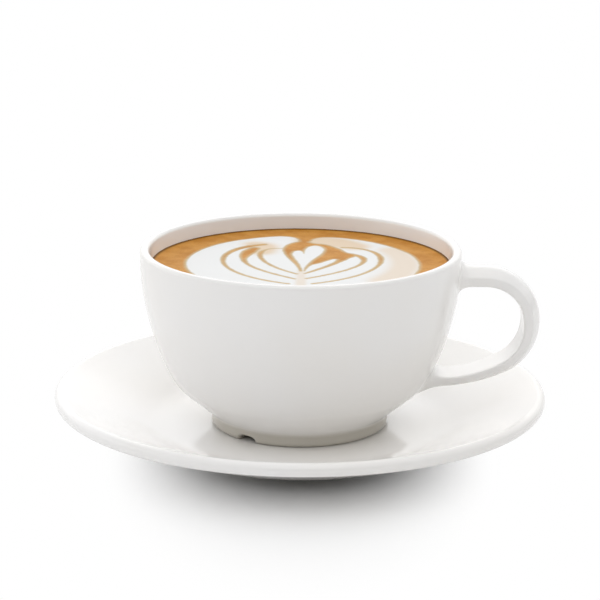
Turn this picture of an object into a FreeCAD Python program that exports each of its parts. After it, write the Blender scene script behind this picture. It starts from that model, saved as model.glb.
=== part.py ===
import FreeCAD, Part
import math
import os

import Sketcher

# A cappuccino in its porcelain cup, on its saucer. Millimetres, +Z up.
# The origin is the middle of the saucer's foot, on the table. The handle points along +X,
# and the drinker sits on the -Y side, where the poured figure's stem points.

SIZES = {
    # saucer
    "saucer_radius": 75.3,      # where the rim's two sides would meet; rounding takes 0.3 off
    "saucer_floor": 4.0,        # thickness under the cup
    "saucer_foot": 2.5,         # how far the foot ring lifts it off the table
    "saucer_foot_radius": 37.0,
    "saucer_foot_width": 4.0,
    "under_blend": 24.0,        # radius of the bend from the underside to the border
    "well_radius": 44.2,        # where the flat floor would meet the sloping border
    "border_slope": 23.0,       # degrees above the table
    "border_blend": 24.0,       # radius of the bend from floor to border
    "border_edge": 5.1,         # height of the rim's outer face before it is rounded
    "edge_lean": 0.5,           # the rim's outer face leans in by this much at its foot
    "edge_round": 1.6,          # rounding of the rim's upper edge
    "edge_round_under": 1.0,
    # cup body
    "cup_height": 55.0,
    "rim_radius": 48.6,
    "wall": 3.6,
    "lip": 2.7,                 # thickness at the mouth
    "lip_depth": 6.0,           # how far down the wall begins to thin towards the mouth
    "lip_round": 1.25,
    "lip_blend": 24.0,
    "foot_radius": 27.1,
    "foot_height": 4.0,
    "foot_width": 3.4,
    "foot_recess": 3.0,         # how high the underside is hollowed inside the foot ring
    "cup_floor": 4.5,
    "belly_radius": 38.5,       # where the underside would meet the flank
    "underside_angle": 50.0,    # degrees from upright
    "flank_angle": 26.0,        # degrees from upright
    "belly_blend": 16.5,
    "flank_blend": 81.0,
    "foot_blend": 2.5,
    "foot_round": 1.5,          # rounding of the foot ring's outer edge
    "cavity_blend": 13.0,
    "edge_soft": 0.7,           # the other softened edges of both foot rings
    # drain notches in the cup's foot ring
    "notch_width": 6.8,
    "notch_height": 1.8,
    "notch_turn": 6.3,          # degrees from the handle to the first notch, clockwise
    # handle
    "handle_drop": 8.5,         # from the mouth down to the strap's centre line at its upper root
    "handle_reach": 70.0,       # how far out the centre line goes
    "handle_low": 22.7,         # height where the lower bend's two tangents meet
    "handle_elbow_radius": 52.5,  # where the lower run turns nearly level
    "handle_elbow_height": 14.8,
    "handle_root": 13.9,        # height of the centre line at the lower root
    "handle_bend_top": 14.0,
    "handle_bend_low": 15.2,
    "handle_sweep": 49.0,
    "handle_width": 13.0,
    "handle_thickness": 4.6,
    "handle_round": 1.4,
    "handle_fillet_top": 2.4,
    "handle_fillet_low": 4.0,
    # drink
    "fill_depth": 5.4,          # from the mouth down to the drink
    "foam_radius": 35.2,        # the poured figure's round outline
    "foam_depth": 1.5,
}
NOTCHES = 3

doc = FreeCAD.newDocument("cappuccino")
sheet = doc.addObject("Spreadsheet::Sheet", "sizes")
for row, (alias, number) in enumerate(SIZES.items(), start=1):
    sheet.set(f"A{row}", alias)
    sheet.set(f"B{row}", str(number))
    sheet.setAlias(f"B{row}", alias)
doc.recompute()


class Size:
    """A length or angle that knows its number and the sheet formula behind it."""

    def __init__(self, number, formula):
        self.number = float(number)
        self.formula = formula

    def __add__(self, other):
        other = as_size(other)
        return Size(self.number + other.number, f"({self.formula} + {other.formula})")

    def __sub__(self, other):
        other = as_size(other)
        return Size(self.number - other.number, f"({self.formula} - {other.formula})")

    def __mul__(self, other):
        other = as_size(other)
        return Size(self.number * other.number, f"{self.formula} * {other.formula}")

    def __truediv__(self, other):
        other = as_size(other)
        return Size(self.number / other.number, f"{self.formula} / ({other.formula})")


def as_size(thing):
    return thing if isinstance(thing, Size) else Size(thing, str(thing))


def size(alias):
    return Size(SIZES[alias], f"sizes.{alias}")


def cosine(angle):
    return Size(math.cos(math.radians(angle.number)), f"cos({angle.formula})")


def tangent(angle):
    return Size(math.tan(math.radians(angle.number)), f"tan({angle.formula})")


# ---------------------------------------------------------------- sketch helpers

def new_body(name, height=None):
    """A sub-part's body, lifted by a sheet formula where it stands on something."""
    body = doc.addObject("PartDesign::Body", name)
    body.Label = name
    if height is not None:
        body.Placement.Base.z = height.number
        body.setExpression(".Placement.Base.z", height.formula)
    return body


def origin_feature(body, role):
    return next(f for f in body.Origin.OriginFeatures if f.Role == role)


def new_sketch(body, name, plane):
    sketch = body.newObject("Sketcher::SketchObject", name)
    sketch.AttachmentSupport = [(origin_feature(body, plane), "")]
    sketch.MapMode = "FlatFace"
    return sketch


def hold(sketch, kind, *targets):
    """Add a dimension whose last target is a Size, and bind it to the sheet."""
    *points, length = targets
    index = sketch.addConstraint(Sketcher.Constraint(kind, *points, length.number))
    sketch.setExpression(f"Constraints[{index}]", length.formula)


def place_point(sketch, geometry, end, across, up):
    """Fix one point of the sketch at (across, up). Zero means on the axis."""
    for kind, axis, length in (("DistanceX", -2, across), ("DistanceY", -1, up)):
        if length.number == 0:
            sketch.addConstraint(Sketcher.Constraint("PointOnObject", geometry, end, axis))
        else:
            hold(sketch, kind, -1, 1, geometry, end, length)


def corner_turn(before, corner, after):
    """How far the outline turns at a corner, in radians."""
    return (corner - before).getAngle(after - corner)


def corner_reaches(spots, radii, closed):
    """How far each rounding runs back from its corner along both sides.

    Two roundings that would meet on a side are shortened until they fit it."""
    count = len(spots)
    reaches = [0.0] * count
    for i, radius in enumerate(radii):
        if radius is not None:
            turn = corner_turn(spots[i - 1], spots[i], spots[(i + 1) % count])
            reaches[i] = radius.number * math.tan(turn / 2)
    fitted = list(reaches)
    for i in range(count if closed else count - 1):
        j = (i + 1) % count
        room = 0.98 * (spots[j] - spots[i]).Length
        wanted = reaches[i] + reaches[j]
        if wanted > room:
            fitted[i] = min(fitted[i], reaches[i] * room / wanted)
            fitted[j] = min(fitted[j], reaches[j] * room / wanted)
    return reaches, fitted


def corner_arc(before, corner, after, reach):
    """The arc of a rounded corner, its two tangent points, and whether it turns left."""
    into = (corner - before).normalize()
    out = (after - corner).normalize()
    radius = reach / math.tan(into.getAngle(out) / 2)
    first = corner - into * reach
    last = corner + out * reach
    left = into.x * out.y - into.y * out.x > 0
    centre = first + FreeCAD.Vector(-into.y, into.x, 0) * (radius if left else -radius)
    start, end = (first, last) if left else (last, first)
    angles = [math.atan2(p.y - centre.y, p.x - centre.x) for p in (start, end)]
    if angles[1] < angles[0]:
        angles[1] += 2 * math.pi
    circle = Part.Circle(centre, FreeCAD.Vector(0, 0, 1), radius)
    return Part.ArcOfCircle(circle, *angles), first, last, left


def rounded_outline(sketch, corners, closed=True):
    """Straight sides between corners (across, up, radius), rounded where radius isn't None.

    Each corner point is held at its place in the sheet, the sides run through it, and the
    arcs are tangent to both sides."""
    count = len(corners)
    spots = [FreeCAD.Vector(a.number, b.number, 0) for a, b, _ in corners]
    reaches, fitted = corner_reaches(spots, [r for _, _, r in corners], closed)
    arcs = [None] * count
    for i, reach in enumerate(fitted):
        if reach > 0:
            arcs[i] = corner_arc(spots[i - 1], spots[i], spots[(i + 1) % count], reach)
    sides = []
    for i in range(count if closed else count - 1):
        j = (i + 1) % count
        start = arcs[i][2] if arcs[i] else spots[i]
        end = arcs[j][1] if arcs[j] else spots[j]
        sides.append(sketch.addGeometry(Part.LineSegment(start, end), False))
    if not closed:
        place_point(sketch, sides[0], 1, *corners[0][:2])
        place_point(sketch, sides[-1], 2, *corners[-1][:2])
    for i, (across, up, radius) in enumerate(corners):
        if not closed and i in (0, count - 1):
            continue
        before, after = sides[i - 1], sides[i]
        if arcs[i] is None:
            place_point(sketch, after, 1, across, up)
            sketch.addConstraint(Sketcher.Constraint("Coincident", before, 2, after, 1))
            continue
        arc, _, _, left = arcs[i]
        bend = sketch.addGeometry(arc, False)
        point = sketch.addGeometry(Part.Point(spots[i]), True)
        place_point(sketch, point, 1, across, up)
        for side in (before, after):
            sketch.addConstraint(Sketcher.Constraint("PointOnObject", point, 1, side))
        near, far = (1, 2) if left else (2, 1)
        sketch.addConstraint(Sketcher.Constraint("Tangent", before, 2, bend, near))
        sketch.addConstraint(Sketcher.Constraint("Tangent", bend, far, after, 1))
        if fitted[i] < reaches[i]:
            sketch.addConstraint(Sketcher.Constraint("Radius", bend, arc.Radius))
        else:
            hold(sketch, "Radius", bend, radius)


def turned(body, kind, name, sketch):
    """Turn an outline once round the Z axis."""
    feature = body.newObject(kind, name)
    feature.Profile = sketch
    feature.ReferenceAxis = (sketch, ["V_Axis"])
    feature.Angle = 360
    sketch.Visibility = False
    return feature


NOUGHT = Size(0, "0")

# ---------------------------------------------------------------- saucer

def make_saucer():
    """A shallow dish turned in one piece: flat floor, sloping border and a foot ring."""
    body = new_body("saucer")
    floor_top = size("saucer_foot") + size("saucer_floor")
    radius = size("saucer_radius")
    slope = tangent(size("border_slope"))
    border_top = floor_top + (radius - size("well_radius")) * slope
    face_foot = border_top - size("border_edge")
    foot = size("saucer_foot_radius")
    foot_inside = foot - size("saucer_foot_width")
    corners = [
        (NOUGHT, size("saucer_foot"), None),
        (foot_inside, size("saucer_foot"), None),
        (foot_inside, NOUGHT, size("edge_soft")),
        (foot, NOUGHT, size("edge_soft")),
        (foot, size("saucer_foot"), None),
        (size("well_radius"), size("saucer_foot"), size("under_blend")),
        (radius - size("edge_lean"), face_foot, size("edge_round_under")),
        (radius, border_top, size("edge_round")),
        (size("well_radius"), floor_top, size("border_blend")),
        (NOUGHT, floor_top, None),
    ]
    outline = new_sketch(body, "saucer_outline", "XZ_Plane")
    rounded_outline(outline, corners)
    turned(body, "PartDesign::Revolution", "saucer_turned", outline)
    return body


# ---------------------------------------------------------------- cup

def stand_height():
    """The top of the saucer's floor, where the cup stands."""
    return size("saucer_foot") + size("saucer_floor")


def wall_corners():
    """The two points where the cup's outside changes slope, between foot and mouth."""
    belly = size("belly_radius")
    belly_height = (size("foot_height")
                    + (belly - size("foot_radius")) / tangent(size("underside_angle")))
    flank_height = belly_height + (size("rim_radius") - belly) / tangent(size("flank_angle"))
    return (belly, belly_height), (size("rim_radius"), flank_height)


def cup_outside(body):
    """The cup as if it were solid, with its foot ring and the outer half of its lip."""
    (belly, belly_height), (flank, flank_height) = wall_corners()
    foot = size("foot_radius")
    foot_inside = foot - size("foot_width")
    corners = [
        (NOUGHT, size("foot_recess"), None),
        (foot_inside, size("foot_recess"), None),
        (foot_inside, NOUGHT, size("edge_soft")),
        (foot, NOUGHT, size("foot_round")),
        (foot, size("foot_height"), size("foot_blend")),
        (belly, belly_height, size("belly_blend")),
        (flank, flank_height, size("flank_blend")),
        (size("rim_radius"), size("cup_height"), size("lip_round")),
        (NOUGHT, size("cup_height"), None),
    ]
    outline = new_sketch(body, "cup_outline", "XZ_Plane")
    rounded_outline(outline, corners)
    return turned(body, "PartDesign::Revolution", "cup_turned", outline)


def cavity_outline(body, name):
    """The space inside the cup, one wall in from the outside, up past the mouth.

    Each inner corner is the outer one moved square to both of its sides by the wall."""
    (belly, belly_height), (_, flank_height) = wall_corners()
    under, flank = size("underside_angle"), size("flank_angle")
    wall, rim, top = size("wall"), size("rim_radius"), size("cup_height")
    floor = size("foot_recess") + size("cup_floor")
    step_under, step_flank = wall / cosine(under), wall / cosine(flank)
    rise = (step_under - step_flank) / (tangent(under) - tangent(flank))
    mouth = rim - size("lip")
    beyond = rim - size("lip") / 2
    corners = [
        (NOUGHT, floor, None),
        (belly - step_under + (floor - belly_height) * tangent(under), floor,
         size("cavity_blend")),
        (belly - step_flank + rise * tangent(flank), belly_height + rise, size("belly_blend") - wall),
        (rim - wall, flank_height + (step_flank - wall) / tangent(flank),
         size("flank_blend") - wall),
        (rim - wall, top - size("lip_depth"), size("lip_blend")),
        (mouth, top, size("lip_round")),
        (beyond, top, None),
        (beyond, top + wall, None),
        (NOUGHT, top + wall, None),
    ]
    outline = new_sketch(body, name, "XZ_Plane")
    rounded_outline(outline, corners)
    return outline


def handle_top():
    """The height of the strap's centre line along its upper run."""
    return size("cup_height") - size("handle_drop")


def handle_path(body):
    """The strap's centre line, from inside the wall near the mouth, out over the top bend,
    round the lower bend, and back along the shallow lower run into the belly."""
    rim, wall, reach = size("rim_radius"), size("wall"), size("handle_reach")
    corners = [
        (rim - wall / 2, handle_top(), None),
        (reach, handle_top(), size("handle_bend_top")),
        (reach, size("handle_low"), size("handle_bend_low")),
        (size("handle_elbow_radius"), size("handle_elbow_height"), size("handle_sweep")),
        (size("belly_radius") - wall, size("handle_root"), None),
    ]
    path = new_sketch(body, "handle_path", "XZ_Plane")
    rounded_outline(path, corners, closed=False)
    return path


def handle_section(body):
    """The strap's rounded cross-section, square to the start of its path."""
    half = size("handle_width") / 2
    thick = size("handle_thickness") / 2
    top, soft = handle_top(), size("handle_round")
    start = size("rim_radius") - size("wall") / 2
    section = new_sketch(body, "handle_section", "YZ_Plane")
    section.AttachmentOffset.Base.z = start.number
    section.setExpression(".AttachmentOffset.Base.z", start.formula)
    left = NOUGHT - half
    rounded_outline(section, [(left, top - thick, soft), (half, top - thick, soft),
                              (half, top + thick, soft), (left, top + thick, soft)])
    return section


def seam_edges(feature, before, low, high):
    """The edges where a feature meets the skin of the shape before it, between two heights."""
    skin, old_edges = before.Shells[0], Part.makeCompound(before.Edges)
    names = []
    for number, edge in enumerate(feature.Shape.Edges, start=1):
        middle = edge.valueAt((edge.FirstParameter + edge.LastParameter) / 2)
        spot = Part.Vertex(middle)
        on_seam = spot.distToShape(skin)[0] < 1e-3 < spot.distToShape(old_edges)[0]
        if on_seam and low < middle.z < high:
            names.append(f"Edge{number}")
    return names


def blend_root(body, name, strap, outside, between, radius):
    """Blend one root of the strap into the wall with a fillet."""
    root = body.newObject("PartDesign::Fillet", name)
    root.Base = (strap, seam_edges(strap, outside.Shape, *between))
    root.Radius = radius.number
    root.setExpression("Radius", radius.formula)
    doc.recompute()
    return root


def add_handle(body, outside):
    """Sweep the strap, then blend its two roots into the wall, the lower one more softly."""
    strap = body.newObject("PartDesign::AdditivePipe", "handle_strap")
    strap.Profile = handle_section(body)
    strap.Spine = (handle_path(body), [])
    doc.recompute()
    top, low = handle_top().number, SIZES["handle_root"]
    middle = (top + low) / 2
    lower = blend_root(body, "handle_root_low", strap, outside, (0, middle),
                       size("handle_fillet_low"))
    return blend_root(body, "handle_root_top", lower, outside, (middle, 2 * top),
                      size("handle_fillet_top"))


def cut_notches(body):
    """Round-topped drain notches through the foot ring, equally spaced."""
    half = size("notch_width") / 2
    below = NOUGHT - size("foot_height")
    outline = new_sketch(body, "notch_outline", "YZ_Plane")
    turn = FreeCAD.Rotation(FreeCAD.Vector(0, -1, 0), size("notch_turn").number)
    outline.AttachmentOffset = FreeCAD.Placement(FreeCAD.Vector(), turn)
    outline.setExpression(".AttachmentOffset.Rotation.Angle", size("notch_turn").formula)
    crown = size("notch_height") * 0.8
    rounded_outline(outline, [
        (NOUGHT - half, below, None), (half, below, None),
        (half, size("notch_height"), crown),
        (NOUGHT - half, size("notch_height"), crown)])
    notch = body.newObject("PartDesign::Pocket", "notch")
    notch.Profile = outline
    notch.Length = size("foot_radius").number * 1.2
    notch.setExpression("Length", (size("foot_radius") * 1.2).formula)
    notch.Reversed = True
    doc.recompute()
    ring = body.newObject("PartDesign::PolarPattern", "notches")
    ring.Originals = [notch]
    ring.Axis = (outline, ["V_Axis"])
    ring.Angle = 360
    ring.Occurrences = NOTCHES
    body.Tip = ring
    return ring


def make_cup():
    """A bowl-shaped cup: turned outside, swept handle, hollowed inside, notched foot."""
    body = new_body("cup", stand_height())
    outside = cup_outside(body)
    doc.recompute()
    add_handle(body, outside)
    turned(body, "PartDesign::Groove", "cavity", cavity_outline(body, "cavity_outline"))
    doc.recompute()
    cut_notches(body)
    return body


# ---------------------------------------------------------------- drink

# The coffee lines that part the milk into leaves. Each is a curve with four control points,
# in hundredths of the figure's radius, and its width at the start and at the end.
MIDDLE_LINES = {
    "channel": (((3, 116), (3, 97), (2, 80), (0, 50)), 14, 5),
    "heart_left": (((-6, 77), (-21, 40), (-4, 9), (-1, -26)), 12, 3),
    "heart_right": (((11, 77), (37, 48), (6, 14), (2, -26)), 14, 3),
}
LEAF_LINES = {
    "inner_left": (((-37, 57), (-43, 17), (-26, -3), (-3, -36)), 7, 4),
    "inner_right": (((34, 40), (34, 11), (23, -14), (3, -36)), 13, 4),
    "middle_left": (((-45, 57), (-58, 11), (-48, -11), (-4, -53)), 12, 4),
    "middle_right": (((34, 45), (70, 23), (54, -17), (4, -51)), 10, 4),
    "outer_left": (((-43, 68), (-80, 43), (-81, -37), (-9, -70)), 9, 4),
    "outer_right": (((34, 64), (83, 46), (82, -37), (9, -70)), 8, 4),
}


def stroke_outline(points, start_width, end_width):
    """The two edges of a poured line: its centre curve moved out to both sides.

    The width runs evenly from start to end and closes in a rounded tip at each."""
    centre = Part.BezierCurve()
    centre.setPoles([FreeCAD.Vector(x, y, 0) for x, y in points])
    edges = [[], []]
    for step in (0, 0.03, 0.12, 0.3, 0.5, 0.7, 0.88, 0.97, 1):
        half = (start_width + (end_width - start_width) * step) / 2
        half *= math.sin(math.pi * step) ** 0.4 if 0 < step < 1 else 0
        spot, along = centre.value(step), centre.tangent(step)[0]
        across = FreeCAD.Vector(-along.y, along.x, 0)
        edges[0].append(spot + across * half)
        edges[1].append(spot - across * half)
    curves = []
    for edge in edges:
        curve = Part.BSplineCurve()
        curve.interpolate(edge)
        curves.append(curve)
    return curves


def level_sketch(body, name, level):
    """A sketch that lies at the drink's surface."""
    sketch = new_sketch(body, name, "XY_Plane")
    sketch.AttachmentOffset.Base.z = level.number
    sketch.setExpression(".AttachmentOffset.Base.z", level.formula)
    return sketch


def make_milk_foam(level):
    """The poured figure: a round of milk foam parted into leaves by lines of coffee."""
    body = new_body("milk_foam", stand_height())
    outline = level_sketch(body, "foam_outline", level)
    circle = Part.Circle(FreeCAD.Vector(), FreeCAD.Vector(0, 0, 1), SIZES["foam_radius"])
    outline.addGeometry(circle, False)
    outline.addConstraint(Sketcher.Constraint("Coincident", 0, 3, -1, 1))
    hold(outline, "Radius", 0, size("foam_radius"))
    pad = body.newObject("PartDesign::Pad", "foam_pad")
    pad.Profile = outline
    pad.Reversed = True
    pad.Length = size("foam_depth").number
    pad.setExpression("Length", size("foam_depth").formula)
    doc.recompute()
    scale = SIZES["foam_radius"] / 100
    for name, (points, first, last) in (MIDDLE_LINES | LEAF_LINES).items():
        line = level_sketch(body, f"{name}_line", level)
        path = [(x * scale, y * scale) for x, y in points]
        left, right = stroke_outline(path, first * scale, last * scale)
        sides = [line.addGeometry(curve, False) for curve in (left, right)]
        for end in (1, 2):
            line.addConstraint(Sketcher.Constraint("Coincident", sides[0], end, sides[1], end))
        groove = body.newObject("PartDesign::Pocket", name)
        groove.Profile = line
        groove.Length = size("foam_depth").number
        groove.setExpression("Length", size("foam_depth").formula)
        doc.recompute()
    return body


def make_coffee(level, milk_foam):
    """The drink: it fills the cup's cavity up to its level, and the milk foam lies in it."""
    fill = new_body("coffee_fill", stand_height())
    turned(fill, "PartDesign::Revolution", "fill_turned", cavity_outline(fill, "fill_outline"))
    rim, top = size("rim_radius"), size("cup_height") + size("rim_radius")
    above = new_sketch(fill, "above_level", "XZ_Plane")
    rounded_outline(above, [(NOUGHT, level, None), (rim, level, None), (rim, top, None),
                            (NOUGHT, top, None)])
    turned(fill, "PartDesign::Groove", "level_cut", above)
    coffee = doc.addObject("Part::Cut", "coffee")
    coffee.Label = "coffee"
    coffee.Base = fill
    coffee.Tool = milk_foam
    return coffee


# ---------------------------------------------------------------- build and write

def check(node):
    """Stop if any object failed, or if a sub-part's shape isn't one sound solid."""
    for item in doc.Objects:
        if {"Invalid", "Error"} & set(item.State):
            raise RuntimeError(f"{item.Name} failed: {item.State}")
    shape = node.Shape
    if shape.isNull() or not shape.isValid() or len(shape.Solids) != 1:
        raise RuntimeError(f"{node.Label}: {len(shape.Solids)} solids, valid {shape.isValid()}")


drink_level = size("cup_height") - size("fill_depth")
saucer = make_saucer()
cup = make_cup()
milk_foam = make_milk_foam(drink_level)
coffee = make_coffee(drink_level, milk_foam)
doc.recompute()

nodes = [saucer, cup, coffee, milk_foam]
for node in nodes:
    check(node)
os.makedirs("parts", exist_ok=True)
for node in nodes:
    node.Shape.exportStep(f"parts/{node.Label}.step")
    box = node.Shape.optimalBoundingBox(True, False)
    print(f"{node.Label}: {node.Shape.Volume / 1000:.1f} ml, "
          f"x {box.XMin:.1f}..{box.XMax:.1f}, z {box.ZMin:.2f}..{box.ZMax:.2f}")
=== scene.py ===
# %% [markdown]
# # A cappuccino on its saucer
#
# The object is white glazed porcelain, a drink with milk foam poured into leaves, and nothing
# else, so everything depends on clean curves, an even glaze and the way the two foams meet.
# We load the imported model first. Its boxes give the places and sizes of the four pieces.

import bpy
import numpy as np
from mathutils import Matrix, Vector


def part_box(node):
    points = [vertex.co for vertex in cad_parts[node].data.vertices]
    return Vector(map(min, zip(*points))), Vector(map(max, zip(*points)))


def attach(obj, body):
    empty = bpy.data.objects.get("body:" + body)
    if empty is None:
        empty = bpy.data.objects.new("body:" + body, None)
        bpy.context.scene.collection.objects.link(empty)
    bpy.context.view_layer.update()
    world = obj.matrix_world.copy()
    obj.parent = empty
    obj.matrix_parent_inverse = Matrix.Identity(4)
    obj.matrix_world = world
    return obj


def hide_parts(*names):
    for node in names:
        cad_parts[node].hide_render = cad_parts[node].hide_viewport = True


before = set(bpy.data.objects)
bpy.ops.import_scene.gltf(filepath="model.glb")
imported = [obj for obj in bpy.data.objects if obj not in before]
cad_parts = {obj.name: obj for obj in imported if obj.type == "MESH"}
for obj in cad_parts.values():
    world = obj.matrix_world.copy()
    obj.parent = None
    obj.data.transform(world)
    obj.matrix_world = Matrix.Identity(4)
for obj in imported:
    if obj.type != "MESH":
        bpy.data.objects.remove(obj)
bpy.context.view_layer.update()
MM = 0.001                      # Blender's unit is the metre
saucer_low, saucer_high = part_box("saucer")
cup_low, cup_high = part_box("cup")
drink_low, drink_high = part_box("coffee")
print("pieces in the frame:", sorted(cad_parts))

# %% [markdown]
# ## Sizes
#
# All shapes below are worked out in millimetres from the table up, and turned into metres
# only when a mesh is made. Heights come from the frame, so the looks sit where the model
# does. What the frame's boxes can't tell, such as roundings and slopes, is named here.

# %% Sizes in millimetres
stand = cup_low.z / MM                  # top of the saucer's floor, where the cup stands
rim_height = cup_high.z / MM
drink_level = drink_high.z / MM
rim_radius = -cup_low.x / MM
saucer_radius = 75.3                    # where the rim's two faces would meet
wall, lip = 3.6, 2.7
foot_radius, foot_width, foot_height, foot_recess = 27.1, 3.4, 4.0, 3.0
underside_slope, flank_slope = np.radians(50.0), np.radians(26.0)   # from upright
belly_radius = 38.5
print(f"cup stands at {stand:.1f} mm, rim at {rim_height:.1f}, drink at {drink_level:.1f}")

# %% [markdown]
# ## Profiles with rounded corners
#
# Turned ware is one profile carried round an axis. We describe a profile by a few corners,
# each with the radius of its rounding, and let numpy lay an arc into every corner. The arc
# begins a tangent length, radius times tan(half the turn), before its corner, which is how a
# fillet is drawn by hand. Straight stretches get points too, so the faces stay even.

# %% A profile from corners
def tangent_reaches(spots, radii):
    """How far each rounding runs back from its corner: radius * tan(turn / 2).

    Two roundings that would meet on the side between them are shortened to fit it."""
    sides = np.diff(spots, axis=0)
    lengths = np.hypot(*sides.T)
    heading = np.arctan2(sides[:, 1], sides[:, 0])
    turn = np.diff(heading)
    turn = (turn + np.pi) % (2 * np.pi) - np.pi
    wanted = np.concatenate([[0], radii[1:-1] * np.tan(abs(turn) / 2), [0]])
    share = np.minimum(1, 0.98 * lengths / np.maximum(wanted[:-1] + wanted[1:], 1e-9))
    fitted = wanted * np.minimum(np.append(1, share), np.append(share, 1))
    return fitted, turn


def corner_arc(before, corner, after, reach, turn, finest):
    """Points of the arc that rounds a corner.

    It starts `reach` before the corner, its radius is reach / tan(turn / 2), and its points
    are centre + radius * (cos, sin) as the angle runs through the turn."""
    into = (corner - before) / np.linalg.norm(corner - before)
    start = corner - into * reach
    radius = reach / np.tan(abs(turn) / 2)
    centre = start + np.array([-into[1], into[0]]) * radius * np.sign(turn)
    first = np.arctan2(*(start - centre)[::-1])
    count = int(max(6, abs(turn) / np.radians(5.0), abs(turn) * radius / finest)) + 1
    angles = first + np.linspace(0, turn, count)
    return centre + radius * np.stack([np.cos(angles), np.sin(angles)], axis=1)


def rounded_profile(corners, finest=1.6):
    """A polyline of (across, up) points through rounded corners (across, up, radius).

    Long gaps between the arcs are filled with points no more than `finest` apart."""
    table = np.array(corners, float)
    spots = table[:, :2]
    reaches, turns = tangent_reaches(spots, table[:, 2])
    pieces = [spots[:1]]
    for i in range(1, len(spots) - 1):
        pieces.append(corner_arc(*spots[i - 1:i + 2], reaches[i], turns[i - 1], finest)
                      if reaches[i] > 0 else spots[i:i + 1])
    points = np.concatenate(pieces + [spots[-1:]])
    along = path_stations(points)
    extra = [np.linspace(a, b, int(np.ceil((b - a) / finest)), endpoint=False)[1:]
             for a, b in zip(along[:-1], along[1:]) if b - a > finest]
    stations = np.sort(np.concatenate([along] + extra))
    return np.stack([np.interp(stations, along, points[:, k]) for k in (0, 1)], axis=1)


def path_stations(points):
    """The distance from the first point along a polyline, at each of its points."""
    return np.concatenate([[0], np.cumsum(np.hypot(*np.diff(points, axis=0).T))])


# %% [markdown]
# ## Meshes from grids
#
# Every piece here is a grid of points: rows one way, columns the other. One function joins
# neighbours into four-sided faces and closes the seam where the grid wraps round. Another
# ends each open side in a fan of triangles round a single point, so that no hole or doubled
# point is left at a pole.

# %% Grid to mesh
def grid_faces(rows, columns):
    """Quads of a grid whose columns wrap round, as an array of four point numbers each."""
    row, column = np.meshgrid(np.arange(rows - 1), np.arange(columns), indexing="ij")
    here = row * columns + column
    beside = row * columns + (column + 1) % columns
    return np.stack([here, beside, beside + columns, here + columns], axis=-1).reshape(-1, 4)


def closed_tube(grid):
    """Points and faces of a tube (rows, columns, 3) closed by a fan at each end.

    Each fan's tip is the mean of its end ring, which for a turned shape is the pole."""
    rows, columns, _ = grid.shape
    points = np.concatenate([grid.reshape(-1, 3), grid[:1].mean(axis=1), grid[-1:].mean(axis=1)])
    ring = np.arange(columns)
    following = (ring + 1) % columns
    low_tip, last = rows * columns, (rows - 1) * columns
    low = np.stack([following, ring, np.full(columns, low_tip)], axis=1)
    high = np.stack([last + ring, last + following, np.full(columns, low_tip + 1)], axis=1)
    return points, grid_faces(rows, columns), np.concatenate([low, high])


def new_piece(name, points, quads, triangles):
    """A smooth-shaded object from arrays in millimetres, its place in its mesh."""
    mesh = bpy.data.meshes.new(name)
    mesh.from_pydata((points * MM).tolist(), [], quads.tolist() + triangles.tolist())
    mesh.shade_smooth()
    mesh.validate()
    piece = bpy.data.objects.new(name, mesh)
    bpy.context.scene.collection.objects.link(piece)
    print(f"{name}: {len(points)} points, {2 * len(quads) + len(triangles)} triangles")
    return piece


def turned(profile, angles):
    """A turned surface: each profile point (r, z) goes to (r cos a, r sin a, z)."""
    radius, height = profile[:, 0, None], profile[:, 1, None]
    return np.stack([radius * np.cos(angles), radius * np.sin(angles),
                     height + 0 * angles], axis=-1)


# %% [markdown]
# ## The saucer
#
# A shallow dish: a flat floor, a soft bend, and a border that climbs to a thick, round rim.
# The underside runs nearly parallel to it down to a foot ring. A potter would throw it in one
# piece, and it is one profile here too. The profile runs from the middle of the underside
# outwards, over the rim and back to the middle of the floor, so its faces point outwards all
# the way.

# %% Saucer
saucer_foot, border_slope = 2.5, np.tan(np.radians(22.0))
well_radius, saucer_foot_radius, saucer_foot_width = 44.2, 37.0, 4.0
rim_depth, floor_bend = 4.5, 24.0       # how far the rim's faces are apart, and a rounding


def saucer_profile():
    """From the middle of the underside, over foot ring and rim, to the middle of the floor."""
    border_top = stand + (saucer_radius - well_radius) * border_slope
    inside = saucer_foot_radius - saucer_foot_width
    return rounded_profile([
        (0.5, saucer_foot, 0), (inside, saucer_foot, 0.6), (inside, 0, 0.7),
        (saucer_foot_radius, 0, 0.7), (saucer_foot_radius, saucer_foot, 0.6),
        (well_radius, saucer_foot, floor_bend),
        (saucer_radius - 0.5, border_top - rim_depth, 1.7), (saucer_radius, border_top, 2.0),
        (well_radius, stand, floor_bend), (0.5, stand, 0)], finest=2.0)


around = np.linspace(0, 2 * np.pi, 400, endpoint=False)
saucer = new_piece("saucer_dish", *closed_tube(turned(saucer_profile(), around)))

# %% [markdown]
# ## The cup's body
#
# The body is turned as well: foot ring, a tight bend at the belly, a long gentle one up the
# flank, and a wall that thins into a rounded lip. Its inside follows the outside one wall in.
# The foot ring has three drain notches, which let water run off in a dishwasher. A notch is
# made by raising the ring's lower edge, so the body stays one closed surface.

# %% Cup body
cup_height = rim_height - stand
belly_height = foot_height + (belly_radius - foot_radius) / np.tan(underside_slope)
flank_height = belly_height + (rim_radius - belly_radius) / np.tan(flank_slope)
foot_inside = foot_radius - foot_width
floor_height = foot_recess + 4.5
notch_width, notch_height, notch_turns = 6.8, 1.8, np.radians([-6.3, 113.7, 233.7])

outside = [(0.5, foot_recess, 0), (foot_inside, foot_recess, 0.5), (foot_inside, 0, 0.7),
           (foot_radius, 0, 1.5), (foot_radius, foot_height, 2.5),
           (belly_radius, belly_height, 16.5), (rim_radius, flank_height, 81.0),
           (rim_radius, cup_height, 1.25)]


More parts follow.
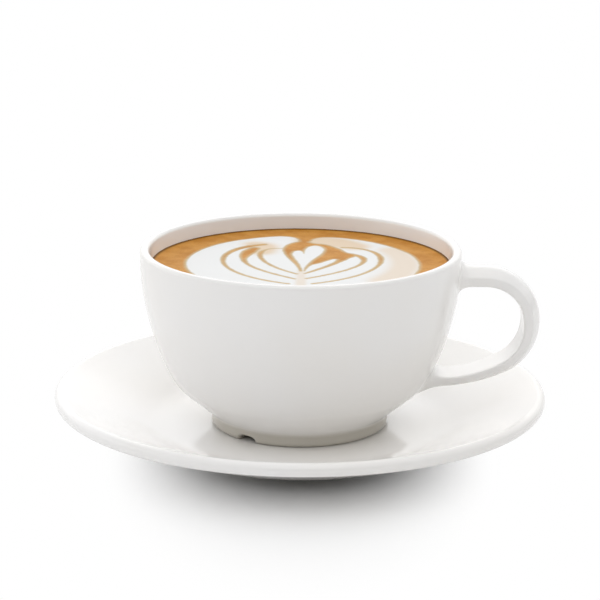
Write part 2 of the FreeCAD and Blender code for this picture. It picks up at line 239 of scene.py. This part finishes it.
def inside_corners():
    """The cavity's corners from the floor up: the outer ones moved in by the wall.

    Moving both sides of a corner in by w shifts it by (step_a - step_b) / (tan a - tan b) up,
    where step = w / cos(slope) is how far a sloping side moves level."""
    under, flank = np.tan(underside_slope), np.tan(flank_slope)
    step_under, step_flank = wall / np.cos(underside_slope), wall / np.cos(flank_slope)
    rise = (step_under - step_flank) / (under - flank)
    floor_edge = belly_radius - step_under + (floor_height - belly_height) * under
    return [(0.5, floor_height, 0), (floor_edge, floor_height, 13.0),
            (belly_radius - step_flank + rise * flank, belly_height + rise, 16.5 - wall),
            (rim_radius - wall, flank_height + (step_flank - wall) / flank, 81.0 - wall),
            (rim_radius - wall, cup_height - 6.0, 24.0),
            (rim_radius - lip, cup_height, 1.25)]


def notched(grid):
    """Raise the foot ring's lower edge into an arch over each drain notch.

    The arch at s mm from its middle is h = H (1 - |2 s / W|^2.4)^(1/2). A point z above the
    ring's bottom rises by h (1 - z / top), so the ring's root stays where it is."""
    across, height = np.hypot(grid[..., 0], grid[..., 1]), grid[..., 2] - stand
    angle = np.arctan2(grid[..., 1], grid[..., 0])
    top = np.where(across > foot_radius - foot_width / 2, foot_height, foot_recess)
    on_ring = (across > foot_inside - 0.4) & (across < foot_radius + 1) & (height < top)
    arch = 0
    for turn in notch_turns:
        aside = abs((angle - turn + np.pi) % (2 * np.pi) - np.pi) * foot_radius
        arch = arch + np.clip(1 - (2 * aside / notch_width) ** 2.4, 0, 1) ** 0.5
    grid[..., 2] += np.where(on_ring, notch_height * arch * (1 - height / top), 0)
    return grid


spread = notch_width / 2 / foot_radius * np.sin(np.linspace(-np.pi / 2, np.pi / 2, 21))
crowd = np.concatenate([turn + spread for turn in notch_turns]) % (2 * np.pi)
even = np.linspace(0, 2 * np.pi, 320, endpoint=False)
clear = abs(even[:, None] - crowd[None]).min(axis=1) > 0.004
angles = np.sort(np.concatenate([even[clear], crowd]))
outer_wall = rounded_profile(outside[4:] + [(rim_radius - 1.3, cup_height, 0)])
cup_profile = rounded_profile(outside + inside_corners()[::-1], finest=1.7) + [0, stand]
cup_body = new_piece("cup_body", *closed_tube(notched(turned(cup_profile, angles))))

# %% [markdown]
# ## The handle
#
# A potter pulls or casts the handle as a strap, bends it and sticks both ends to the body
# with slip, smoothing clay into a soft flare at each root. We sweep one section along nearly
# the same bent line as the model's: flat and crisp towards the cup, gently crowned towards
# the hand, and thinner along the lower run. Near a root each point slides along the strap until it
# touches the wall, found by halving the interval, while the section swells outwards on a
# quarter ellipse. The strap therefore arrives tangent to the wall and no joint shows.

# %% Handle line
strap_width, lower_share = 13.0, 0.74
hidden_run = 14.0                       # the line starts and ends this far inside the wall
strap_line = rounded_profile([
    (rim_radius - hidden_run, cup_height - 8.3, 0), (69.95, cup_height - 8.3, 14.2),
    (69.95, 22.6, 15.2), (52.5, 14.45, 49.0),
    (belly_radius - wall - hidden_run, 13.6 - hidden_run * 0.85 / 17.6, 0)], finest=0.8)
strap_stations = path_stations(strap_line)
strap_length = strap_stations[-1]
heading = np.gradient(strap_line, strap_stations, axis=0)
heading /= np.hypot(*heading.T)[:, None]
print(f"the strap's line is {strap_length:.0f} mm long")


def on_strap(along, across, up):
    """The point `along` the centre line, `across` in y, `up` square to the line.

    With heading (hx, hz) the square direction is (-hz, hx). The strap thins towards its
    lower root, so `up` is scaled by a share that falls along the line."""
    up = up * np.interp(along / strap_length, [0.42, 0.7], [1, lower_share])
    x, z, hx, hz = (np.interp(along, strap_stations, values)
                    for values in (*strap_line.T, *heading.T))
    return np.stack([x - up * hz, across, z + up * hx + stand], axis=-1)


def wall_gap(points):
    """How far points lie outside the cup's wall, measured level from the axis."""
    wall_radius = np.interp(points[..., 2] - stand, outer_wall[:, 1], outer_wall[:, 0])
    return np.hypot(points[..., 0], points[..., 1]) - wall_radius


def touch_station(across, up, inner, outer):
    """Where along the strap its points meet the wall, by halving between two stations."""
    low, high = np.full_like(across, inner), np.full_like(across, outer)
    for _ in range(40):
        middle = (low + high) / 2
        hidden = wall_gap(on_strap(middle, across, up)) < 0
        low, high = np.where(hidden, middle, low), np.where(hidden, high, middle)
    return (low + high) / 2


# %% Handle mesh
half_wide = strap_width / 2
# Heights above the line: the face towards the cup, the ends of the sides, the outer middle.
flat_side, shoulder, crown = -2.35, 0.55, 2.9
section = rounded_profile([
    (0, flat_side, 0), (half_wide, flat_side, 0.7), (half_wide, shoulder, 0.9),
    (2.2, crown, 7.5), (-2.2, crown, 7.5), (-half_wide, shoulder, 0.9),
    (-half_wide, flat_side, 0.7), (0, flat_side, 0)], finest=0.9)[:-1]
across, up = section.T
along_edge = np.roll(section, -1, axis=0) - np.roll(section, 1, axis=0)
face = np.stack([along_edge[:, 1], -along_edge[:, 0]])      # outwards, square to the edge
face /= np.hypot(*face)


def root_rows(inner, outer, swell, reach):
    """Stations and section offsets of the flared root, from inside the wall outwards.

    With t from 90 to 0 degrees, distance from the wall is reach (1 - sin t) and the
    section grows by swell (1 - cos t) along its own outward direction."""
    t = np.radians(np.linspace(90, 0, 20))
    away = np.concatenate([[-1.5, -0.3, -0.04], reach * (1 - np.sin(t))])
    share = np.concatenate([[0, 1.2, 1.05], 1 - np.cos(t)])
    growth = swell[0] * face[0] ** 2 + swell[1] * face[1] ** 2
    rows = []
    for distance, part in zip(away, share):
        wide, tall = across + part * growth * face[0], up + part * growth * face[1]
        station = touch_station(wide, tall, inner, outer)
        rows.append((station + np.sign(outer - inner) * distance, wide, tall))
    return [np.array(column) for column in zip(*rows)]


upper = root_rows(0.0, 24.0, swell=(3.4, 2.2), reach=3.6)
lower = root_rows(strap_length, strap_length - 30.0, swell=(6.5, 4.8), reach=7.5)
blend = np.linspace(0, 1, 110)[1:-1, None]
middle = [upper[0][-1] * (1 - blend) + lower[0][-1] * blend,
          np.tile(across, (len(blend), 1)), np.tile(up, (len(blend), 1))]
strap = [np.concatenate([a, b, c[::-1]]) for a, b, c in zip(upper, middle, lower)]
handle = new_piece("cup_handle", *closed_tube(on_strap(*strap)))

# %% [markdown]
# ## The poured figure
#
# A barista pours this figure in one go: milk pushed to and fro leaves stacked leaves, and a
# last thin stream drawn through the middle folds them into a heart. We need to know, for
# every point of the drink, how deep it lies in milk, in millimetres. Lines of coffee are
# cubic Bezier curves of changing width. The round outline and the pool of coffee between the
# lobes are smooth loops through a few points. The shader turns the depth into soft edges.

# %% Distances to lines and loops
def bezier(poles, count=32):
    """A cubic curve: (1-t)^3 a + 3 (1-t)^2 t b + 3 (1-t) t^2 c + t^3 d."""
    t = np.linspace(0, 1, count)[:, None]
    a, b, c, d = np.array(poles, float)
    return (1 - t) ** 3 * a + 3 * (1 - t) ** 2 * t * b + 3 * (1 - t) * t ** 2 * c + t ** 3 * d


def smooth_loop(spots, count=8):
    """A closed Catmull-Rom curve: it passes each point along the chord of its neighbours."""
    p = np.array(spots, float)
    before, after, beyond = np.roll(p, 1, 0), np.roll(p, -1, 0), np.roll(p, -2, 0)
    t = np.linspace(0, 1, count, endpoint=False)[:, None, None]
    loop = p + (t * (after - before) + t ** 2 * (2 * before - 5 * p + 4 * after - beyond)
                + t ** 3 * (3 * p - before - 3 * after + beyond)) / 2
    return loop.transpose(1, 0, 2).reshape(-1, 2)


def beside(places, start, side):
    """Nearest share along a straight side, and distance to it: |r - t s|, t = r.s / s.s."""
    away = places - start
    share = np.clip(away @ side / (side @ side), 0, 1)
    return share, np.hypot(*(away - share[:, None] * side).T)


def to_line(places, path, widths):
    """Distance to a line of changing width, less than 0 inside it."""
    half = np.interp(np.linspace(0, 1, len(path)), *zip(*widths)) / 2
    nearest = np.full(len(places), np.inf)
    for start, side, low, high in zip(path, np.diff(path, axis=0), half, half[1:]):
        share, gap = beside(places, start, side)
        nearest = np.minimum(nearest, gap - low - (high - low) * share)
    return nearest


def to_loop(places, loop):
    """Distance to a closed loop, less than 0 inside it.

    A place is inside if a level ray to the right crosses the loop an odd number of times."""
    nearest, inside = np.full(len(places), np.inf), np.zeros(len(places), bool)
    for start, side in zip(loop, np.roll(loop, -1, 0) - loop):
        nearest = np.minimum(nearest, beside(places, start, side)[1])
        climb = side[1] if side[1] else 1e-9
        share = (places[:, 1] - start[1]) / climb
        inside ^= (share >= 0) & (share < 1) & (places[:, 0] < start[0] + share * side[0])
    return np.where(inside, -nearest, nearest)


# %% [markdown]
# The numbers are millimetres in plan, to the right and away from the drinker, from the
# cup's axis. Widths are pairs of a curve's t and the width there.

# %% The figure's lines
OUTLINE = [
    (35.7, 0), (35.3, 6), (33.6, 13), (30.6, 19), (27, 24.2), (22.8, 28.6), (18, 32),
    (13.5, 34.2), (9.2, 35.2), (6, 34.6), (4.1, 32.6), (3.2, 29.6), (1, 27.6),
    (-0.8, 29.6), (-1, 32.4), (-2.6, 35), (-6.2, 36.2), (-11, 35), (-16, 32.6),
    (-21, 29.4), (-25.6, 25), (-29.6, 19.2), (-32.6, 12.6), (-34.3, 5.5), (-34.6, -1),
    (-33.6, -8), (-31, -15), (-26.5, -22), (-20, -28.2), (-11, -33), (0, -35),
    (11, -33.2), (20.5, -28.4), (27.8, -22), (32.6, -14.5), (35, -7)]
POOL = [
    (0.8, 31.5), (2.9, 28.6), (4.8, 27), (7.6, 25.9), (9.6, 23.8), (11.2, 21.6),
    (12.7, 19.2), (13.5, 16.8), (14.8, 14.6), (16.6, 13.2), (17.2, 11.2), (16.3, 9.2),
    (15, 7.4), (13.6, 4.6), (12, 3.8), (11.2, 5.4), (10, 6.2), (8, 3.8), (5.6, 0.8),
    (3.4, -1), (2.4, 1), (4, 6.4), (5.8, 11.4), (6.9, 15.8), (7.1, 19.6), (6.2, 22.6),
    (4.5, 23.9), (2.7, 22.4), (1.7, 19.8), (1.1, 16), (0.9, 13), (0.5, 15.4), (-0.4, 17),
    (-1.7, 16.4), (-2.4, 14.4), (-3, 12), (-4.3, 12.2), (-5.5, 15), (-5.8, 18), (-5.5, 21),
    (-4.6, 24.6), (-3, 27.4), (-1, 29.4)]
LINES = [
    ([(-11.5, 24.8), (-28.6, 19), (-29.4, -13), (-3.6, -24.3)],
     [(0, 2.2), (0.1, 2.8), (0.3, 2.1), (0.6, 1.3), (1, 1.1)]),
    ([(13, 21.5), (29.5, 22), (30, -12), (3.4, -24)],
     [(0, 1.4), (0.2, 1.5), (0.42, 2.1), (0.6, 1.3), (1, 1.1)]),
    ([(-14.4, 19.5), (-20.6, 5), (-18, -4.5), (-1.8, -18.5)],
     [(0, 3.6), (0.1, 4.8), (0.2, 4), (0.32, 2.4), (0.5, 1.4), (1, 1.1)]),
    ([(16, 12.4), (23, 7), (19, -6), (1.6, -18)], [(0, 2), (0.2, 2.4), (0.5, 1.3), (1, 1.1)]),
    ([(-5.6, 19.6), (-15.6, 22), (-15.5, 1), (-1.2, -12.5)],
     [(0, 0.6), (0.2, 0.9), (0.35, 2), (0.5, 1.7), (0.7, 1.3), (1, 1.1)]),
    ([(12.8, 8), (12.4, 3), (7.4, -4), (1.2, -12)],
     [(0, 3.6), (0.3, 2.2), (0.5, 1.8), (0.8, 1.4), (1, 1)]),
    ([(-4.2, 14.5), (-3.2, 6), (-0.8, 1), (0, -9)],
     [(0, 2.6), (0.4, 2), (0.7, 1.4), (1, 1)]),
    ([(4, 2), (2.4, -1), (1.6, -4), (1, -9)], [(0, 2.6), (0.4, 1.4), (0.8, 0.8), (1, 0.5)])]
# Where milk has taken up some coffee: the last stream's track, the lobes' inner ends, and
# the band that ran along the right-hand side.
STEM = [(0, -9), (0.1, -14), (0.1, -19), (0, -25)]
LOBE_TINTS = [([(4, 31), (8, 30), (13, 27), (17, 23)], [(0, 7), (0.5, 8), (1, 4)]),
              ([(-14.5, 25), (-12, 24), (-11.5, 20), (-12, 15)], [(0, 2), (0.5, 5), (1, 3)])]
BAND = [(28, 18), (33.5, 6), (32.5, -8), (25, -20)]
print(f"{len(LINES)} lines of coffee part the milk")


def milk_depth(places):
    """How deep places lie in milk, in millimetres, less than 0 in coffee."""
    depth = np.minimum(-to_loop(places, smooth_loop(OUTLINE)),
                       to_loop(places, smooth_loop(POOL)))
    for poles, widths in LINES:
        depth = np.minimum(depth, to_line(places, bezier(poles), widths))
    return depth


def milk_tint(places):
    """How much coffee the milk has taken up, 0 to 1: soft bumps exp(-(gap / soft)^2)."""
    def bump(poles, widths, soft):
        gap = np.maximum(to_line(places, bezier(poles), widths), 0)
        return np.exp(-(gap / soft) ** 2)
    lobes = [0.6 * bump(poles, widths, 2.8) for poles, widths in LOBE_TINTS]
    stem = 0.3 * bump(STEM, [(0, 0.6), (1, 1.6)], 1.0)
    band = 0.4 * bump(BAND, [(0, 3), (1, 5)], 3.0)
    return np.max([*lobes, stem, band], axis=0)


# %% [markdown]
# ## The drink
#
# The drink fills the cavity. It clings to the wall in a low meniscus, and the milk stands a
# little proud of the crema. Both are real height here, since the eye looks along the surface
# and sees even a tenth of a millimetre.

# %% Drink
meniscus, relief = 0.7, 0.12
surface_rings = 132
drink_radius = drink_high.x / MM


def drink_profile():
    """From under the middle, out along the cavity and back in over the surface."""
    cavity = rounded_profile(inside_corners(), finest=2.4) + [0, stand]
    cavity = cavity[cavity[:, 1] < drink_level - 0.5]
    share = np.linspace(0, 1, surface_rings) ** 1.05
    top_radii = drink_radius + 0.15 - share * (drink_radius - 0.15)
    top = np.stack([top_radii, np.full_like(top_radii, drink_level)], axis=1)
    return np.concatenate([cavity + [0.08, -0.08], top])


def surface_lift(grid):
    """Rise of the surface: c exp(-(R - r) / 0.9) at the wall, and half a step into milk."""
    across = np.hypot(grid[..., 0], grid[..., 1])
    depth = milk_depth(grid[..., :2].reshape(-1, 2)).reshape(across.shape)
    edge = meniscus * np.exp(-np.maximum(drink_radius - across, 0) / 0.9)
    step = relief * (1 + np.tanh(depth / 0.7)) / 2
    return np.where(grid[..., 2] > drink_level - 0.01, edge + step, 0)


drink_grid = turned(drink_profile(), np.linspace(0, 2 * np.pi, 512, endpoint=False))
drink_grid[..., 2] += surface_lift(drink_grid)
drink_points, drink_quads, drink_fans = closed_tube(drink_grid)
drink = new_piece("drink", drink_points, drink_quads, drink_fans)
for name, values in (("milk_depth", milk_depth), ("milk_tint", milk_tint)):
    field = drink.data.attributes.new(name, "FLOAT", "POINT")
    field.data.foreach_set("value", values(drink_points[:, :2]).astype(np.float32))
surface = drink_grid[-surface_rings:, :, :2].reshape(-1, 2)
print(f"milk covers {np.mean(milk_depth(surface) > 0):.2f} of the surface's points")

# %% [markdown]
# ## Shader arithmetic
#
# Finishes below are formulas. A small class wraps a shader value, so that + - * on it add
# Math nodes, and one method adds any other node. Formulas then read like formulas.

# %% Shader helpers
class Value:
    """A shader value on its way between nodes."""

    def __init__(self, graph, socket):
        self.graph, self.socket = graph, socket

    def maths(self, operation, *terms):
        return self.graph.node("Math", {"operation": operation}, dict(enumerate(terms)))

    def __add__(self, other):
        return self.maths("ADD", self, other)

    def __sub__(self, other):
        return self.maths("SUBTRACT", self, other)

    def __rsub__(self, other):
        return self.maths("SUBTRACT", other, self)

    def __mul__(self, other):
        return self.maths("MULTIPLY", self, other)

    __radd__, __rmul__ = __add__, __mul__

    def smooth(self, low, high):
        """0 below `low`, 1 above `high`, and a smooth step between."""
        return self.graph.node("MapRange", {"interpolation_type": "SMOOTHSTEP"},
                               {"Value": self, "From Min": low, "From Max": high})

    def blend(self, first, second):
        """The colour `first` where this value is 0 and `second` where it is 1."""
        return self.graph.node("Mix", {"data_type": "RGBA"}, {0: self, 6: first, 7: second}, 2)


class Graph:
    """A node tree that is filled by formulas."""

    def __init__(self, owner):
        owner.use_nodes = True
        self.tree = owner.node_tree

    def node(self, kind, settings, sockets, output=0):
        """Add a node, set it, fill its sockets with numbers or values, and give an output."""
        node = self.tree.nodes.new("ShaderNode" + kind)
        for name, setting in settings.items():
            setattr(node, name, setting)
        for name, value in sockets.items():
            self.feed(node.inputs[name], value)
        return Value(self, node.outputs[output])

    def feed(self, socket, value):
        if isinstance(value, Value):
            self.tree.links.new(value.socket, socket)
        else:
            socket.default_value = value

    def noise(self, place, scale, detail=2.0, roughness=0.5):
        """Soft noise around 0.5, with features 1 / scale apart."""
        return self.node("TexNoise", {}, {"Vector": place, "Scale": scale, "Detail": detail,
                                          "Roughness": roughness})


def srgb(red, green, blue):
    """Shader colour from 8-bit display values: c / 12.92, or ((c + 0.055) / 1.055)^2.4."""
    shown = np.array([red, green, blue]) / 255
    linear = np.where(shown < 0.04045, shown / 12.92, ((shown + 0.055) / 1.055) ** 2.4)
    return (*linear.tolist(), 1.0)


def new_finish(name, roughness, ior):
    """A material, its graph, its Principled sockets, and the place on the piece in mm."""
    material = bpy.data.materials.new(name)
    graph = Graph(material)
    sockets = graph.tree.nodes["Principled BSDF"].inputs
    sockets["Roughness"].default_value = roughness
    sockets["IOR"].default_value = ior
    place = graph.node("TexCoord", {}, {}, "Object")
    place = graph.node("VectorMath", {"operation": "SCALE"}, {0: place, "Scale": 1000.0})
    return material, graph, sockets, place


def dress(piece, material, stands_for):
    """Give a piece its finish and its place in the model."""
    piece.data.materials.append(material)
    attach(piece, "root")
    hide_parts(*stands_for)


# %% [markdown]
# ## Glazed porcelain
#
# Cup and saucer are dipped in clear glaze over a warm white body and fired. Glaze levels
# itself, so its waves are low and wide. It is finely pitted here and there, and a foot ring
# is wiped bare, because glaze would stick it to the kiln shelf. The bare ring is duller. The
# foot above it is coloured greyer: partly thin glaze over greyer clay, partly painted shade
# where the foot sits in under the body.

# %% Porcelain
GLAZED, GLAZED_WARM = srgb(248, 247, 246), srgb(247, 245, 242)
# Painted shade: the foot's greyer colour stands partly for thin glaze, partly for the shade under
# the body.
THIN_GLAZE_AND_SHADE, BARE_CLAY = srgb(200, 195, 184), srgb(196, 191, 181)
glaze_roughness, clay_roughness = 0.1, 0.62


def porcelain(name, bare_below, thin_and_shaded_below):
    """Porcelain, bare up to one height in mm, greyer up to another for thin glaze and painted
    shade.
    """
    material, graph, sockets, place = new_finish(name, glaze_roughness, 1.5)
    height = graph.node("SeparateXYZ", {}, {0: place}, 2)
    edge = graph.noise(place, 0.35) * 0.5 + bare_below - 0.25
    glazed = (height - edge).smooth(-0.15, 0.15)
    waves = graph.noise(place, 0.035, detail=1.0)
    pits = graph.noise(place, 2.2, detail=3.0, roughness=0.6).smooth(0.7, 0.8)
    warm = graph.noise(place, 0.02, detail=2.0).smooth(0.3, 0.7)
    # Painted shade: the foot is coloured greyer here, for thin glaze and for the shade under the
    # body.
    thick_and_unshaded = (height - thin_and_shaded_below).smooth(-1.0, 1.4)
    coated = thick_and_unshaded.blend(THIN_GLAZE_AND_SHADE, warm.blend(GLAZED, GLAZED_WARM))
    graph.feed(sockets["Base Color"], glazed.blend(BARE_CLAY, coated))
    smear = graph.noise(place, 0.12, detail=4.0).smooth(0.35, 0.8)
    shine = glazed * (clay_roughness - glaze_roughness)
    graph.feed(sockets["Roughness"], clay_roughness - shine + smear * 0.03)
    grain = graph.noise(place, 5.0, detail=2.0) * (1 - glazed) * 0.05
    relief = waves * 0.5 - pits * 0.004 + grain
    graph.feed(sockets["Normal"], graph.node("Bump", {}, {
        "Strength": 0.35, "Distance": MM, "Height": relief}))
    return material


cup_glaze = porcelain("cup_porcelain", stand + 0.5, stand + foot_height)
saucer_glaze = porcelain("saucer_porcelain", 0.6, saucer_foot)
dress(saucer, saucer_glaze, ["saucer"])
for part in (cup_body, handle):
    dress(part, cup_glaze, ["cup"])
print("porcelain on", [part.name for part in (saucer, cup_body, handle)])

# %% [markdown]
# ## Crema and milk foam
#
# Crema is a mat of tiny coffee-stained bubbles, mottled by the pour, and coloured darker
# brown within about a millimetre of the wall. Milk foam is finer and almost white. At an edge
# the two mix within two millimetres, so the colour goes from brown through tan to white.

# %% Drink finish
def drink_finish():
    """Crema and milk in one material, told apart by the depth kept on the drink's points."""
    material, graph, sockets, place = new_finish("coffee_crema", 0.5, 1.34)
    sockets["Specular IOR Level"].default_value = 0.12
    depth = graph.node("Attribute", {"attribute_name": "milk_depth"}, {}, 2)
    tint = graph.node("Attribute", {"attribute_name": "milk_tint"}, {}, 2)
    flat = graph.node("VectorMath", {"operation": "MULTIPLY"}, {0: place, 1: (1, 1, 0)})
    wall_near = drink_radius - graph.node("VectorMath", {"operation": "LENGTH"}, {0: flat}, 1)
    depth = depth + (graph.noise(place, 0.6, detail=3.0) - 0.5) * 0.5
    mottle = graph.noise(place, 0.14, detail=5.0, roughness=0.6)
    specks = graph.noise(place, 1.6, detail=2.0).smooth(0.5, 0.75)
    crema = mottle.smooth(0.3, 0.7).blend(srgb(193, 130, 50), srgb(214, 155, 76))
    crema = (specks * 0.25).blend(crema, srgb(174, 112, 40))
    # Darker brown within about a millimetre of the wall, where the drink meets the cup.
    crema = (1 - wall_near.smooth(0.1, 0.9)).blend(crema, srgb(110, 74, 24))
    tan = depth.smooth(-1.5, 0.1).blend(crema, srgb(206, 186, 148))
    milk = tint.blend(srgb(239, 240, 240), srgb(224, 188, 136))
    graph.feed(sockets["Base Color"], depth.smooth(-0.35, 0.45).blend(tan, milk))
    froth = graph.noise(place, 3.2, detail=3.0, roughness=0.65)
    graph.feed(sockets["Roughness"], 0.44 + depth.smooth(-0.5, 0.6) * 0.1 + froth * 0.08)
    graph.feed(sockets["Normal"], graph.node("Bump", {}, {
        "Strength": 0.5, "Distance": MM, "Height": froth * 0.06 + mottle * 0.12}))
    return material


dress(drink, drink_finish(), ["coffee", "milk_foam"])
print("drink slots:", [m.name for m in drink.data.materials])

# %% [markdown]
# ## Floor and light
#
# A product shot on white: a pale floor, and a dome of soft light like a ring of large
# softboxes, from the horizon up to straight overhead. The front is dark near the horizon and
# bright halfway up, which models the round wall and keeps a dark, soft shadow under the
# saucer. The whole dome is scaled so that a level surface gets E = sum of L sin(rise) / sum of
# sin(rise) over equal patches of sky, and E is the wanted level, at which white comes out
# white. Away from the saucer the floor is painted with white light for the camera, which
# paints out its shadow there, so that only the soft shadow close to it shows, and the sky
# behind is white too.

# %% Floor
def disc(name, radius):
    """A flat round floor as one many-sided face: points (R cos a, R sin a, 0)."""
    turns = np.linspace(0, 2 * np.pi, 96, endpoint=False)
    ring = np.stack([radius * np.cos(turns), radius * np.sin(turns), 0 * turns], axis=1)
    mesh = bpy.data.meshes.new(name)
    mesh.from_pydata(ring.tolist(), [], [list(range(len(ring)))])
    piece = bpy.data.objects.new(name, mesh)
    bpy.context.scene.collection.objects.link(piece)
    return piece


# Half the width and depth, in millimetres, of the ellipse on which painted white light covers
# about half of the shadow.
SHADOW_WIDE, SHADOW_DEEP = 44.5, 98.0
floor = disc("floor", 4.0)
floor_paint, floor_graph, floor_sockets, spot = new_finish("floor_paint", 0.9, 1.5)
floor_sockets["Base Color"].default_value = (0.97, 0.97, 0.97, 1.0)
floor_sockets["Specular IOR Level"].default_value = 0.0
spread = floor_graph.node("VectorMath", {"operation": "MULTIPLY"},
                    {0: spot, 1: (1 / SHADOW_WIDE, 1 / SHADOW_DEEP, 0)})
spread = floor_graph.node("VectorMath", {"operation": "DOT_PRODUCT"}, {0: spread, 1: spread}, 1)
seen = floor_graph.node("LightPath", {}, {}, "Is Camera Ray")
white = floor_graph.node("Emission", {}, {"Color": (1, 1, 1, 1), "Strength": 1.0})
shaded = Value(floor_graph, floor_graph.tree.nodes["Principled BSDF"].outputs[0])
# Painted light: outside the ellipse the camera sees white emission mixed in, which paints out the
# floor's shadow.
floor_graph.feed(floor_graph.tree.nodes["Material Output"].inputs["Surface"], floor_graph.node(
    "MixShader", {}, {0: seen * spread.smooth(0.05, 1.8), 1: shaded, 2: white}))
floor.data.materials.append(floor_paint)
print("floor spans 8 m")

# %% Dome of light
RISES = np.radians([0.0, 22.0, 48.0, 90.0])
OVERHEAD = 1.45
SIDES = [((1, 0, 0), (0.1, 0.8, 0.72)), ((0, 1, 0), (1.1, 1.8, 1.2)),
         ((-1, 0, 0), (0.65, 1.55, 0.2)), ((0, -1, 0), (0.0, 0.0, 1.74))]
wanted = 1.01


def side_steps(levels):
    """A side's level at the horizon, and how it changes over each of the three steps up."""
    return levels[0], np.diff((*levels, OVERHEAD))


def level_light():
    """Light on a level surface, from the same formula as the shader's, over many directions.

    L = sum over sides of w (l0 + sum of steps d t), with w = max(0, cos(turn from side))^2
    and t the share of each step that the rise has climbed."""
    rise, turn = np.meshgrid(np.linspace(0, np.pi / 2, 200), np.linspace(0, 2 * np.pi, 181)[1:])
    climbed = [np.clip((rise - low) / (high - low), 0, 1) for low, high in zip(RISES, RISES[1:])]
    light = 0
    for (x, y, _), levels in SIDES:
        start, steps = side_steps(levels)
        share = np.maximum(0, x * np.cos(turn) + y * np.sin(turn)) ** 2
        light = light + share * (start + sum(d * t for d, t in zip(steps, climbed)))
    weight = np.sin(rise) * np.cos(rise)
    return float((light * weight).sum() / weight.sum())


world = bpy.data.worlds.new("dome")
bpy.context.scene.world = world
sky = Graph(world)
toward = sky.node("TexCoord", {}, {}, "Generated")
height = sky.node("SeparateXYZ", {}, {0: toward}, 2)
rise = height.maths("ARCSINE", height)
flat = sky.node("VectorMath", {"operation": "MULTIPLY"}, {0: toward, 1: (1, 1, 0)})
flat = sky.node("VectorMath", {"operation": "NORMALIZE"}, {0: flat})
climbed = [sky.node("MapRange", {}, {"Value": rise, "From Min": low, "From Max": high})
           for low, high in zip(RISES.tolist(), RISES[1:].tolist())]
light = 0
for side, levels in SIDES:
    start, steps = side_steps(levels)
    facing = sky.node("VectorMath", {"operation": "DOT_PRODUCT"}, {0: flat, 1: side}, 1)
    facing = facing.maths("MAXIMUM", facing, 0.0)
    light = facing * facing * (sum(t * float(d) for d, t in zip(steps, climbed)) + start) + light
gain = wanted / level_light()
seen = sky.node("LightPath", {}, {}, "Is Camera Ray")
background = sky.tree.nodes["Background"]
background.inputs["Color"].default_value = (1.0, 1.0, 1.0, 1.0)
sky.feed(background.inputs["Strength"], light * gain * (1 - seen) + seen)
print(f"dome gain {gain:.3f}, level light {wanted}")

# %% [markdown]
# ## Camera
#
# A long lens at about fifteen degrees above the table, far enough away that the rim's
# ellipse is only slightly stronger in front, with the horizon tipped by half a degree.

# %% Camera
elevation, distance, roll = np.radians(14.884), 0.6394, np.radians(0.4605)
target = Vector((-0.00018, 0.0, 0.04483))
forward = Vector((0, np.cos(elevation), -np.sin(elevation)))
above, right = Vector((0, np.sin(elevation), np.cos(elevation))), Vector((1, 0, 0))
tipped_up = above * np.cos(roll) - right * np.sin(roll)
tipped_right = right * np.cos(roll) + above * np.sin(roll)
lens = bpy.data.cameras.new("camera")
lens.sensor_width, lens.lens = 36.0, 126.16
camera = bpy.data.objects.new("camera", lens)
bpy.context.scene.collection.objects.link(camera)
turn = Matrix((tipped_right, tipped_up, -forward)).transposed()
camera.matrix_world = Matrix.Translation(target - forward * distance) @ turn.to_4x4()
bpy.context.scene.camera = camera
bpy.context.scene.view_settings.view_transform = "Standard"
print("camera at", [round(v, 3) for v in camera.location])

# %% [markdown]
# ## Last step
#
# The view layer is brought up to date, so every piece's place is current.

# %% Update the view layer
bpy.context.view_layer.update()
